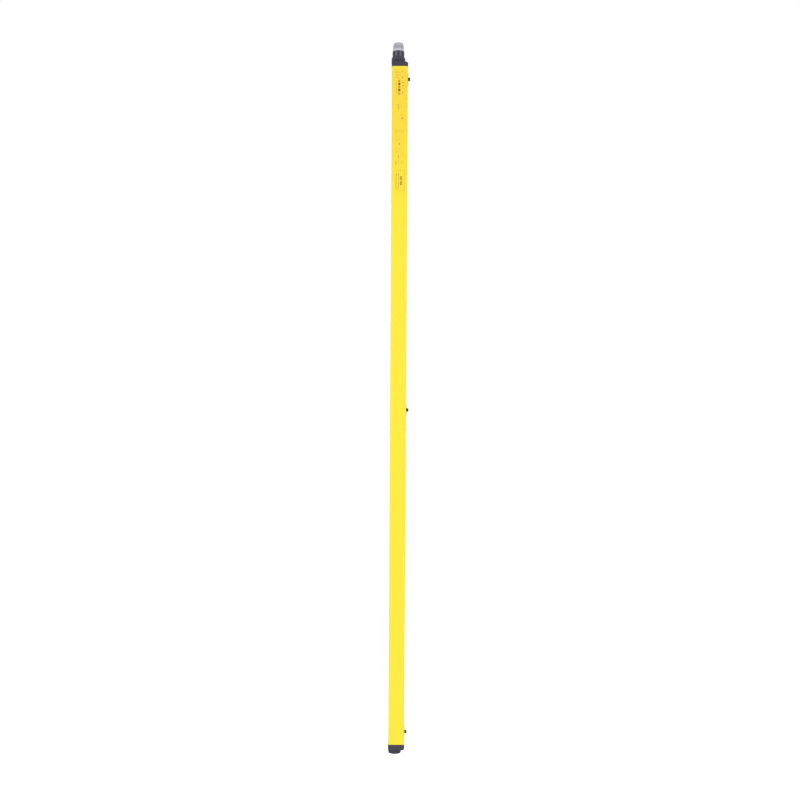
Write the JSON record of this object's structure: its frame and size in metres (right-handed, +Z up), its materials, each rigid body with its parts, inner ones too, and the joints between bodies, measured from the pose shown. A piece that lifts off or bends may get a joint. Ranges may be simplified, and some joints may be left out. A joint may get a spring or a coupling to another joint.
{
  "type": "safety light curtain",
  "caption": "Slim upright bar with a T-slot back, a dark lens window in front, plastic end caps and a round machine plug under a dust cap; guards a machine opening.",
  "frame": {"origin": "middle of the bar's length on its flat back face, at the mouth of the rear T-slot", "axes": "+Z up along the bar, towards the plug; +Y out of the back; the optical window faces -Y"},
  "size_m": [0.0486, 0.0469, 1.7756],
  "materials": {
    "yellow_paint": "smooth satin powder coat, warm yellow",
    "dark_window": "gloss, dark tinted, passes infrared",
    "black_plastic": "matte moulded black",
    "grey_plastic": "satin, slightly translucent grey",
    "insulator": "matte black",
    "black_rubber": "matte",
    "zinc_steel": "zinc plated",
    "dark_steel": "dark plated sheet",
    "gold_contacts": "gold plated",
    "spring_bronze": "bright spring strip",
    "green_board": "solder resist",
    "connector_plastic": "matte cream",
    "clear_plastic": "clear moulded",
    "display_block": "grey face with light bars",
    "ribbon": "flat grey ribbon"
  },
  "bodies": {
    "housing": {"blind_cover": "black_plastic", "board_bridge_1": "connector_plastic", "board_bridge_2": "connector_plastic", "board_bridge_3": "connector_plastic", "board_bridge_4": "connector_plastic", "board_bridge_5": "connector_plastic", "board_bridge_6": "connector_plastic", "boss_seals": "black_rubber", "bottom_end_cap": "black_plastic", "cap_gaskets": "black_rubber", "cap_screws": "zinc_steel", "clamp_plates": "dark_steel", "contact_pins": "gold_contacts", "control_board": "green_board", "display_bezel": "black_plastic", "earth_contact": "spring_bronze", "front_window": "dark_window", "housing_profile": "yellow_paint", "lens_strip_1": "clear_plastic", "lens_strip_2": "clear_plastic", "lens_strip_3": "clear_plastic", "lens_strip_4": "clear_plastic", "lens_strip_5": "clear_plastic", "lens_strip_6": "clear_plastic", "light_guide": "clear_plastic", "optic_board_1": "green_board", "optic_board_2": "green_board", "optic_board_3": "green_board", "optic_board_4": "green_board", "optic_board_5": "green_board", "optic_board_6": "green_board", "optics_carrier_1": "black_plastic", "optics_carrier_2": "black_plastic", "optics_carrier_3": "black_plastic", "optics_carrier_4": "black_plastic", "optics_carrier_5": "black_plastic", "optics_carrier_6": "black_plastic", "plug_insert": "insulator", "plug_lead": "ribbon", "plug_lock_ring": "black_plastic", "plug_shell": "black_plastic", "slot_nuts": "zinc_steel", "slot_screws": "zinc_steel", "status_display": "display_block", "top_end_cap": "black_plastic", "window_seal_left": "black_rubber", "window_seal_right": "black_rubber"},
    "dust_cap": {"dust_cap": "grey_plastic"}
  },
  "joints": [
    {"name": "dust_cap_pull", "type": "slide", "parent": "housing", "child": "dust_cap", "axis": [0, 0, 1], "range_m": [0, 0.03]}
  ]
}
